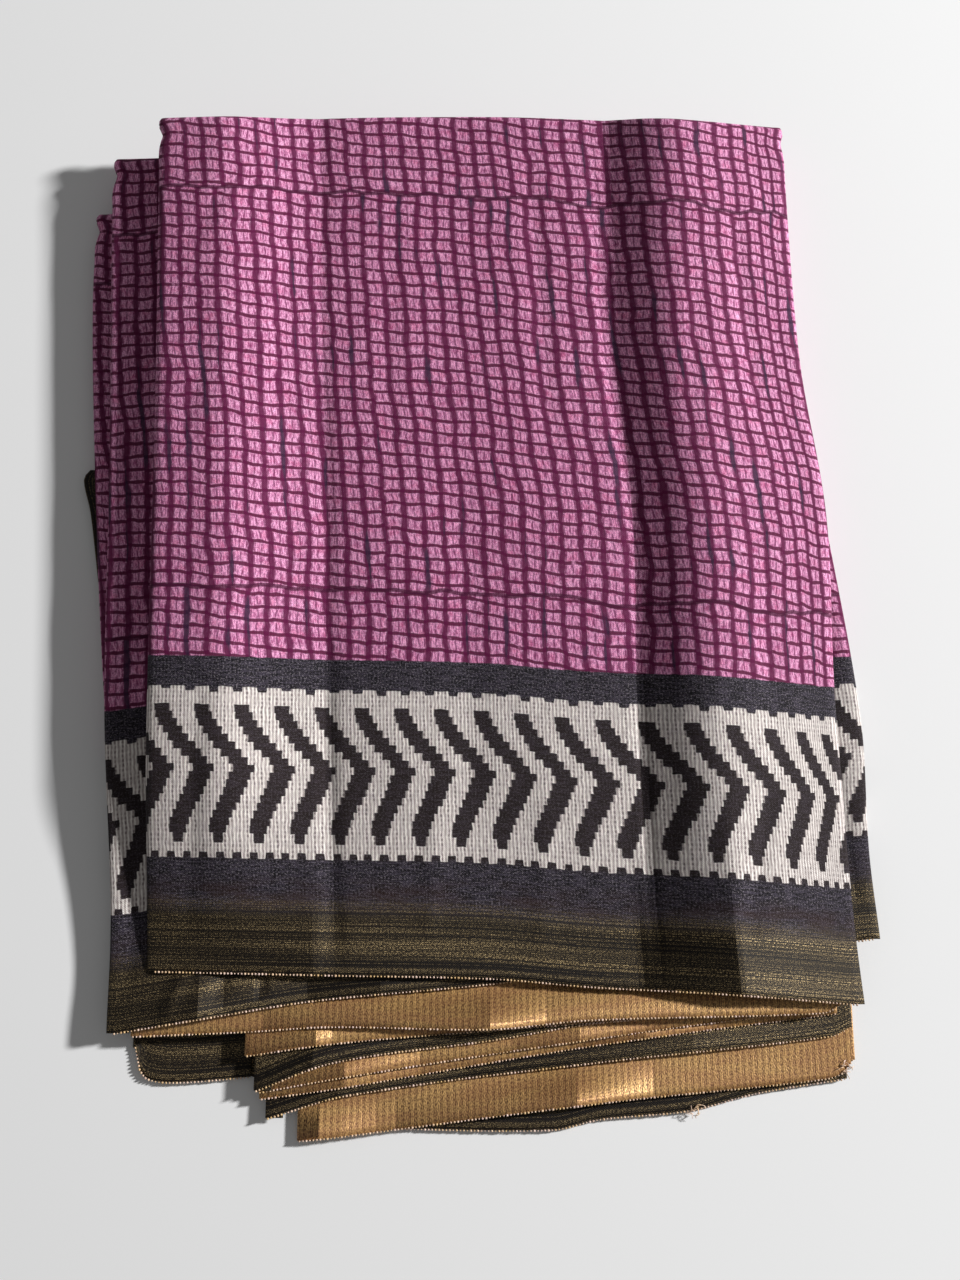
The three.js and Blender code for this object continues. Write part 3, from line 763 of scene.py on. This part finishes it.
def lip_rings(upper, lower, lip, inset):
    """The points of one of the folds between two leaves, ring by ring over its rounded rim."""
    fold_top = fold_height(upper)
    rings = []
    for inwards, upwards in LIP_SECTION:
        x, y = lip_ring(upper, inset + inwards * LIP_DEPTH)
        floor = height(lower, x, y) + (WALL if lower is not bottom else BOTTOM_FOLD)
        ceiling = outer_height(upper, x, y) - fold_top(x, y)
        low = mix(floor, ceiling, lip / LIPS)
        high = mix(floor, ceiling, (lip + LIP_FILL) / LIPS)
        rings.append(np.stack([x, y, mix(low, high, upwards)], axis=-1))
    return np.array(rings)


def lips_between(upper, lower, seed):
    """Rounded folds, one above the other, from one leaf up to the folded edge of the next."""
    random = np.random.default_rng(seed)
    share, run = loop_places()
    points, cloth, faces = [], [], []
    for lip in range(LIPS):
        bends = uneven(share * TOP_WIDTH, run * LONG_SIDE, *LIP_UNEVEN, seed * 10 + lip)
        rings = lip_rings(upper, lower, lip, random.uniform(*LIP_INSETS) + bends)
        count, around = rings.shape[:2]
        points.append(rings.reshape(-1, 3))
        arc = np.linspace(-1, 1, count)[:, None] * LIP_DEPTH
        coordinates = np.stack([rings[..., 0] + arc, rings[..., 1] - upper.front(share)], axis=-1)
        cloth.append(coordinates.reshape(-1, 2))
        index = np.arange(count * around).reshape(count, around) + lip * count * around
        after = np.roll(index, -1, axis=1)
        below, below_after = np.roll(index, -1, axis=0), np.roll(after, -1, axis=0)
        faces.append(np.stack([index, below, below_after, after], axis=-1).reshape(-1, 4))
    return np.concatenate(points), np.concatenate(cloth), np.concatenate(faces)


def build_folds(printed):
    """The folds that show between the leaves all round the packet, in place of the hidden ones."""
    groups = [("folds_under_top_leaf", top, second, 1), ("folds_under_second_leaf", second, third, 2),
              ("folds_under_third_leaf", third, bottom, 3)]
    length = LIPS * 2 * (TOP_WIDTH + LIP_SIDE)
    for name, upper, lower, seed in groups:
        piece = mesh_piece(name, *lips_between(upper, lower, seed), printed)
        declare(piece, "hidden_layers", (LIP_CLOTH, length))


# -------- materials


class Signal:
    """A number that a material works out at each point; arithmetic on it adds Math nodes."""

    def __init__(self, tree, socket):
        self.tree = tree
        self.socket = socket

    def math(self, operation, *others, first=None):
        values = enumerate((self if first is None else first, *others))
        node = add_node(self.tree, "ShaderNodeMath", values, operation=operation)
        return Signal(self.tree, node.outputs[0])

    def __add__(self, other):
        return self.math("ADD", other)

    def __sub__(self, other):
        return self.math("SUBTRACT", other)

    def __rsub__(self, other):
        return self.math("SUBTRACT", self, first=other)

    def __mul__(self, other):
        return self.math("MULTIPLY", other)

    def __truediv__(self, other):
        return self.math("DIVIDE", other)

    __radd__ = __add__
    __rmul__ = __mul__

    def floor(self):
        return self.math("FLOOR")

    def fract(self):
        return self.math("FRACT")

    def near(self, period):
        """Distance to the nearest multiple of a period."""
        return ((self / period + 0.5).fract() - 0.5).math("ABSOLUTE") * period

    def above(self, edge, soft):
        """0 below an edge and 1 above it, over a soft width."""
        links = {"Value": self, "From Min": edge - soft / 2, "From Max": edge + soft / 2}
        node = add_node(self.tree, "ShaderNodeMapRange", links, interpolation_type="SMOOTHSTEP")
        return Signal(self.tree, node.outputs["Result"])

    def below(self, edge, soft):
        return 1 - self.above(edge, soft)

    def ripple(self, period):
        """Up to 1 and down to 0 once in every period."""
        return (self * (2 * math.pi / period)).math("SINE") * 0.5 + 0.5


class Cloth:
    """A cloth's material, with the cloth coordinates u and v in millimetres and noises of them."""

    def __init__(self, name, by_object=False):
        self.material = bpy.data.materials.new(name)
        self.material.use_nodes = True
        self.tree = self.material.node_tree
        self.shader = self.tree.nodes["Principled BSDF"]
        place = self.add("ShaderNodeTexCoord")["Object"] if by_object else self.uv_map("cloth")
        self.u, self.v = self.split(place)

    def add(self, kind, links=(), **settings):
        return add_node(self.tree, kind, links, **settings).outputs

    def uv_map(self, name):
        return self.add("ShaderNodeUVMap", uv_map=name)[0]

    def split(self, place):
        """The first two coordinates of a place, in millimetres."""
        coordinates = self.add("ShaderNodeSeparateXYZ", {0: place})
        return [Signal(self.tree, socket) / MM for socket in coordinates[:2]]

    def vector(self, x, y, z):
        return self.add("ShaderNodeCombineXYZ", {0: x, 1: y, 2: z})[0]

    def noise(self, x, y, detail=2.0, seed=0.0):
        """Noise from 0 to 1 with features about one unit of x and y wide."""
        links = {"Vector": self.vector(x, y, seed), "Scale": 1, "Detail": detail}
        return Signal(self.tree, self.add("ShaderNodeTexNoise", links)[0])

    def wander(self, x, y, size, seed):
        """Noise from half a size below 0 to half a size above it."""
        return (self.noise(x, y, seed=seed) - 0.5) * size

    def random(self, x, y=0.0, seed=0.0):
        """A number from 0 to 1 for each whole x and y."""
        links = {"Vector": self.vector(x, y, seed)}
        return Signal(self.tree, self.add("ShaderNodeTexWhiteNoise", links)["Value"])

    def mix(self, share, a, b):
        return self.add("ShaderNodeMix", {"Factor": share, 6: a, 7: b}, data_type="RGBA")[2]

    def chart(self, rows, at):
        """Two numbers read from rows of (at, a, b), in straight lines from row to row."""
        low, high = rows[0][0], rows[-1][0]
        node = add_node(self.tree, "ShaderNodeValToRGB", {0: (at - low) / (high - low)})
        stops = node.color_ramp.elements
        while len(stops) < len(rows):
            stops.new(1)
        for stop, (start, a, b) in zip(stops, rows):
            stop.position = (start - low) / (high - low)
            stop.color = (a, b, 0, 1)
        parts = self.add("ShaderNodeSeparateColor", {0: node.outputs[0]})
        return Signal(self.tree, parts[0]), Signal(self.tree, parts[1])

    def shade(self, **looks):
        """Set or link the shader's inputs, by their names with _ for a space."""
        for name, value in looks.items():
            plug(self.tree, self.shader.inputs[name.replace("_", " ")], value)

    def bump(self, *reliefs):
        """Bump of one or more reliefs, each a height and how many millimetres a height of 1 is."""
        normal = {}
        for height, depth in reliefs:
            bumped = self.add("ShaderNodeBump", {"Height": height, "Distance": depth * MM, **normal})
            normal = {"Normal": bumped[0]}
        self.shade(**normal)


def rgb(red, green, blue):
    """A colour from display values of 0 to 255, as the shader's linear numbers."""
    display = np.array([red, green, blue]) / 255
    linear = np.where(display <= 0.04045, display / 12.92, ((display + 0.055) / 1.055) ** 2.4)
    return (*linear.tolist(), 1)


# The print's bands, by distance from the selvedge.
ZARI_TOP = 40
WHITE_START = 68
WHITE_END = 170
FIELD_START = 191

CELL_WIDTH = REPEAT / 2
CELL_HEIGHT = 8.5
SEAM_START = 236  # first of the heavier lines across the field, where the uprights are offset
SEAM_SPACING = 275
UPRIGHT_LEAN = 0.045
CROSS_LEAN = 0.07

RIB = 2.35  # spacing of the border's upright threads
TOOTH = 10.4  # spacing of the teeth along the white band's lower edge
TOOTH_HEIGHT = 3.6
NOTCH = 15.3  # spacing of the notches along its upper edge
NOTCH_HEIGHT = 2.6
BROWN_TOP = 54  # where the dark band turns brown towards the zari

# One chevron: rows of its left and right edges, as shares of the repeat, from the lowest row.
CHEVRON_START = 80
CHEVRON_ROW = 6.0
CHEVRON = [
    (1.05, 1.31), (0.92, 1.41), (0.99, 1.50), (1.11, 1.61), (1.22, 1.77), (1.34, 1.88),
    (1.42, 1.98), (1.55, 2.11), (1.41, 1.88), (1.11, 1.70), (0.93, 1.47), (0.77, 1.27),
    (0.62, 1.10), (0.57, 0.97),
]
CHEVRON_STEP = 4.6  # height of the steps of its edges
CHART_SCALE = 3  # the chart holds shares of up to 3 repeats

WEAVE_PITCHES = (1.5, 1.3)
GOLD_RIB = 3.9  # spacing of the ribs of the gold reverse, three fine ones to each

# How much bump adds to a leaf's relief, as a share of it, and how high threads stand in bump.
PRINT_RELIEF = 2.0
ZARI_RELIEF = 3.8
GOLD_RELIEF = 5.0
PRINT_THREADS = 0.3
GOLD_THREADS = 0.12
STITCH_THREADS = 0.1


def chevron_share(cloth, u, v):
    """1 on the chevrons, whose edges are stepped."""
    rows = [(CHEVRON_START + CHEVRON_ROW * i, left / CHART_SCALE, right / CHART_SCALE)
            for i, (left, right) in enumerate(CHEVRON)]
    step = ((v / CHEVRON_STEP).floor() + 0.5) * CHEVRON_STEP
    left, right = cloth.chart(rows, step)
    start = left * CHART_SCALE
    inside = (u / REPEAT - start).fract()
    across = inside.below(right * CHART_SCALE - start, 0.04) * inside.above(0.02, 0.04)
    first, last = rows[0][0] - CHEVRON_ROW / 2, rows[-1][0] + CHEVRON_ROW / 2
    return across * v.above(first, 0.5) * v.below(last, 0.5)


def weave(cloth, pitch_u, pitch_v):
    """Height of a plain weave, from 0 to 1."""
    across = (cloth.u * (2 * math.pi / pitch_u)).math("SINE")
    along = (cloth.v * (2 * math.pi / pitch_v)).math("SINE")
    return across * along * 0.5 + 0.5


def field_colour(cloth, u, v):
    """Pink cells in a grid of plum lines drawn by hand, with finer lines inside the cells."""
    seam = v - SEAM_START + cloth.wander(u / 45, 0.0, 16, seed=1)
    block = (seam / SEAM_SPACING).floor()
    seam_line = seam.near(SEAM_SPACING).below(1.3, 0.8)
    u = u + cloth.random(block, seed=14) * CELL_WIDTH + v * UPRIGHT_LEAN

    column = (u / CELL_WIDTH).floor()
    sway = cloth.wander(u / 60, v / 45, 9, seed=2) + cloth.wander(u / 13, v / 9, 3.4, seed=3)
    thick = 0.95 + cloth.noise(u / 12, v / 14, seed=4) * 1.5
    upright = (u + sway).near(CELL_WIDTH).below(thick, 0.7)

    lift = cloth.wander(u / 30, v / 40, 7, seed=5) + cloth.random(column, seed=6) * 1.8
    level = v + u * CROSS_LEAN + lift + cloth.wander(u / 7, v / 9, 1.8, seed=7)
    cross = level.near(CELL_HEIGHT).below(0.7 + cloth.noise(u / 6, v / 8, seed=8) * 0.85, 0.6)
    cross = cross * cloth.noise(u / 9, v / 12, seed=15).above(0.26, 0.16)

    rib = (u + sway + CELL_WIDTH / 2).near(CELL_WIDTH / 3).below(0.55, 0.6)
    dash = (level + CELL_HEIGHT / 2).near(CELL_HEIGHT).below(2.7, 1.8)
    fine = rib * dash * cloth.noise(u / 4, v / 5, seed=9).above(0.38, 0.16)

    thread = cloth.noise(u / 0.9, v / 4, detail=1, seed=10).above(0.48, 0.3)
    speck = cloth.noise(u / 1.0, v / 0.9, detail=1, seed=11).above(0.56, 0.2)
    warm = cloth.noise(u / 9, v / 7, seed=12).above(0.6, 0.2)
    pale = cloth.noise(u / 16, v / 11, seed=16)
    cell = cloth.mix(thread * 0.75 + pale * 0.5 - 0.1, rgb(168, 76, 126), rgb(250, 180, 220))
    cell = cloth.mix(warm * 0.3, cell, rgb(214, 80, 130))
    cell = cloth.mix(fine * 0.75, cell, rgb(112, 28, 80))
    cell = cloth.mix(cross * 0.94, cell, rgb(84, 2, 48))
    cool = cloth.noise(u / 7, v / 60, seed=13).above(0.62, 0.08)
    plum = cloth.mix(cool, rgb(92, 6, 60), rgb(46, 26, 54))
    cell = cloth.mix(upright * 0.94, cell, plum)
    cell = cloth.mix(seam_line * 0.85, cell, rgb(66, 6, 42))
    return cloth.mix(speck * 0.45, cell, rgb(92, 20, 66))


def border_colour(cloth, u, v):
    """White cloth with dark chevrons between two dark bands."""
    rib = u.ripple(RIB)
    pair = u.ripple(2 * RIB).above(0.5, 0.3)
    patchy = cloth.noise(u / 9, v / 7, seed=23)
    dash = v.near(2.9).below(0.8, 0.8) * (1 - rib) * (0.3 + pair * 0.7) * patchy.above(0.45, 0.3)
    slit = cloth.noise(u / 1.0, v / 6, detail=1, seed=24).above(0.5, 0.2)
    white = cloth.mix(rib * 0.8 + 0.1, rgb(172, 158, 154), rgb(254, 248, 242))
    white = cloth.mix(slit * 0.32, white, rgb(132, 116, 116))
    white = cloth.mix(dash * 0.85, white, rgb(92, 80, 82))

    fleck = cloth.noise(u / 1.1, v / 0.9, detail=1, seed=20).above(0.6, 0.14)
    streak = cloth.noise(u / 9, v / 1.2, detail=1, seed=25).above(0.52, 0.2)
    dark = cloth.mix(rib * 0.3 + streak * 0.65, rgb(5, 3, 6), rgb(62, 56, 68))
    dark = cloth.mix(fleck * 0.55, dark, rgb(132, 124, 132))
    brown = cloth.noise(u / 30, v / 9, seed=26).above(0.5, 0.4) * v.below(BROWN_TOP, 14)
    dark = cloth.mix(brown * 0.5, dark, rgb(52, 32, 26))
    in_white = v.above(WHITE_START, 4) * v.below(WHITE_END, 4)
    dark = cloth.mix(in_white * 0.6, dark, rgb(40, 28, 24))

    tooth = (u + cloth.wander(u / 30, 0.0, 6, seed=21)).near(TOOTH).below(TOOTH / 4, 0.5)
    foot = v.above(WHITE_START + tooth * TOOTH_HEIGHT, 0.6)
    deep = 0.6 + 0.8 * cloth.random((u / NOTCH).floor(), seed=22)
    notch = (u + 3).near(NOTCH).below(3.0, 0.6) * deep * NOTCH_HEIGHT
    head = v.below(WHITE_END + 2 - notch, 0.8)
    light = foot * head * (1 - chevron_share(cloth, u, v))
    return cloth.mix(light, dark, white)


def zari_colour(cloth, u, v):
    """Dark olive cloth with fine gold stripes along the selvedge."""
    stripe = cloth.noise(u / 400, v / 0.75, detail=2, seed=30).above(0.5, 0.2)
    broad = cloth.noise(u / 260, v / 8, detail=1, seed=31).above(0.5, 0.3)
    glint = cloth.noise(u / 0.9, v / 0.7, detail=1, seed=32).above(0.52, 0.2)
    gold = stripe * (0.22 + broad * 0.34) * (0.2 + glint * 0.8)
    thread = cloth.mix(glint, rgb(84, 64, 42), rgb(224, 196, 144))
    return cloth.mix(gold, rgb(17, 11, 8), thread), gold


def printed_cloth():
    """The printed face: field, border and zari, by distance from the selvedge."""
    cloth = Cloth("printed_cloth")
    wobble_u = cloth.wander(cloth.u / 5, cloth.v / 5, 1.5, seed=40)
    wobble_v = cloth.wander(cloth.u / 6, cloth.v / 6, 1.5, seed=41)
    u, v = cloth.u + wobble_u, cloth.v + wobble_v
    zari, gold = zari_colour(cloth, cloth.u, cloth.v)
    in_zari = cloth.v.below(ZARI_TOP + cloth.wander(cloth.u / 60, 0.0, 6, seed=42), 16)
    colour = cloth.mix(in_zari, border_colour(cloth, u, v), zari)
    colour = cloth.mix(v.above(FIELD_START, 0.8), colour, field_colour(cloth, cloth.u, cloth.v))
    cloth.shade(Base_Color=colour, Metallic=gold * in_zari * 0.8,
                Roughness=0.8 - in_zari * 0.2 - gold * in_zari * 0.15,
                Sheen_Weight=0.04, Sheen_Roughness=0.5, Specular_IOR_Level=0.2)
    grain = weave(cloth, *WEAVE_PITCHES)
    slub = cloth.noise(cloth.u / 1.2, cloth.v / 8, detail=1, seed=43)
    relief, _ = cloth.split(cloth.uv_map("relief"))
    share = PRINT_RELIEF + in_zari * (ZARI_RELIEF - PRINT_RELIEF)
    cloth.bump((relief * share, 1), (grain * 0.6 + slub * 0.6, PRINT_THREADS))
    return cloth.material


def gold_reverse():
    """The back of the zari border: gold thread floating over fine upright ribs."""
    cloth = Cloth("gold_reverse")
    u, v = cloth.u, cloth.v
    rib = (u + cloth.wander(u / 12, v / 16, 1.6, seed=52)).ripple(GOLD_RIB)
    fine = u.ripple(GOLD_RIB / 3)
    speck = cloth.noise(u / 0.8, v / 1.3, detail=1, seed=51).above(0.5, 0.3)
    stain = cloth.noise(u / 40, v / 9, seed=50).above(0.5, 0.3)
    lit = rib * 0.3 + speck * 0.5 + fine * 0.2
    gold = cloth.mix(lit, rgb(84, 50, 34), rgb(238, 190, 122))
    gold = cloth.mix(stain * 0.3, gold, rgb(144, 86, 64))
    cloth.shade(Base_Color=gold, Metallic=0.35, Roughness=0.55 - speck * 0.1)
    relief, _ = cloth.split(cloth.uv_map("relief"))
    cloth.bump((relief, GOLD_RELIEF), (rib * 0.35 + speck * 0.65, GOLD_THREADS))
    return cloth.material


def stitch_thread():
    """The pale pinkish thread of the selvedge stitches, here and there stained gold."""
    cloth = Cloth("stitch_thread", by_object=True)
    stain = cloth.noise(cloth.u / 9, cloth.v / 9, seed=60).above(0.5, 0.4)
    speck = cloth.noise(cloth.u / 1.4, cloth.v / 1.4, detail=1, seed=61).above(0.5, 0.4)
    thread = cloth.mix(stain, rgb(246, 218, 204), rgb(226, 190, 130))
    thread = cloth.mix(speck * 0.5, thread, rgb(120, 84, 70))
    cloth.shade(Base_Color=thread, Roughness=0.55 + speck * 0.2)
    cloth.bump((speck, STITCH_THREADS))
    return cloth.material


# -------- floor, light and camera

CAMERA_TILT = 12  # degrees from straight down
CAMERA_PLACE = (0, -164.25, 792.74)  # in the plan of the tables
CAMERA_LENS = 35.16
SENSOR = 36

LIGHT_TURN = 16  # degrees from +x towards the back
LIGHT_RISE = 23
LIGHT_AWAY = 6  # metres
LIGHT_SIZE = 0.5
LIGHT_POWER = 620
SKY = 0.16  # light from all round
FLOOR_SIZE = 8  # metres
FLOOR_COLOUR = (0.92, 0.92, 0.92, 1)


def build_floor():
    bpy.ops.mesh.primitive_plane_add(size=FLOOR_SIZE)
    floor = bpy.context.object
    floor.name = "floor"
    pale = bpy.data.materials.new("pale_floor")
    pale.use_nodes = True
    shader = pale.node_tree.nodes["Principled BSDF"]
    shader.inputs["Base Color"].default_value = FLOOR_COLOUR
    shader.inputs["Roughness"].default_value = 0.9
    floor.data.materials.append(pale)


def build_light():
    world = bpy.data.worlds.new("studio")
    world.use_nodes = True
    world.node_tree.nodes["Background"].inputs["Color"].default_value = (1, 1, 1, 1)
    world.node_tree.nodes["Background"].inputs["Strength"].default_value = SKY
    bpy.context.scene.world = world

    turn, rise_angle = math.radians(LIGHT_TURN), math.radians(LIGHT_RISE)
    lamp = bpy.data.lights.new("window", "AREA")
    lamp.shape = "DISK"
    lamp.size = LIGHT_SIZE
    lamp.energy = LIGHT_POWER
    window = bpy.data.objects.new("window", lamp)
    window.location = (
        LIGHT_AWAY * math.cos(rise_angle) * math.cos(turn),
        LIGHT_AWAY * math.cos(rise_angle) * math.sin(turn),
        LIGHT_AWAY * math.sin(rise_angle),
    )
    window.rotation_euler = (0, math.pi / 2 - rise_angle, turn)
    bpy.context.scene.collection.objects.link(window)


def build_camera():
    lens = bpy.data.cameras.new("camera")
    lens.lens = CAMERA_LENS
    lens.sensor_width = SENSOR
    camera = bpy.data.objects.new("camera", lens)
    camera.location = (np.array(CAMERA_PLACE) + PLACE) * MM
    camera.rotation_euler = (math.radians(CAMERA_TILT), 0, 0)
    bpy.context.scene.collection.objects.link(camera)
    bpy.context.scene.camera = camera
    bpy.context.scene.view_settings.view_transform = "Standard"


# -------- assembly

printed, gold, thread = printed_cloth(), gold_reverse(), stitch_thread()
tree = stitch_tree()
build_floor()
build_light()
build_camera()
build_piles(printed, tree, thread)
build_fan(printed, gold, tree, thread)
build_inner_corner(printed)
build_folds(printed)
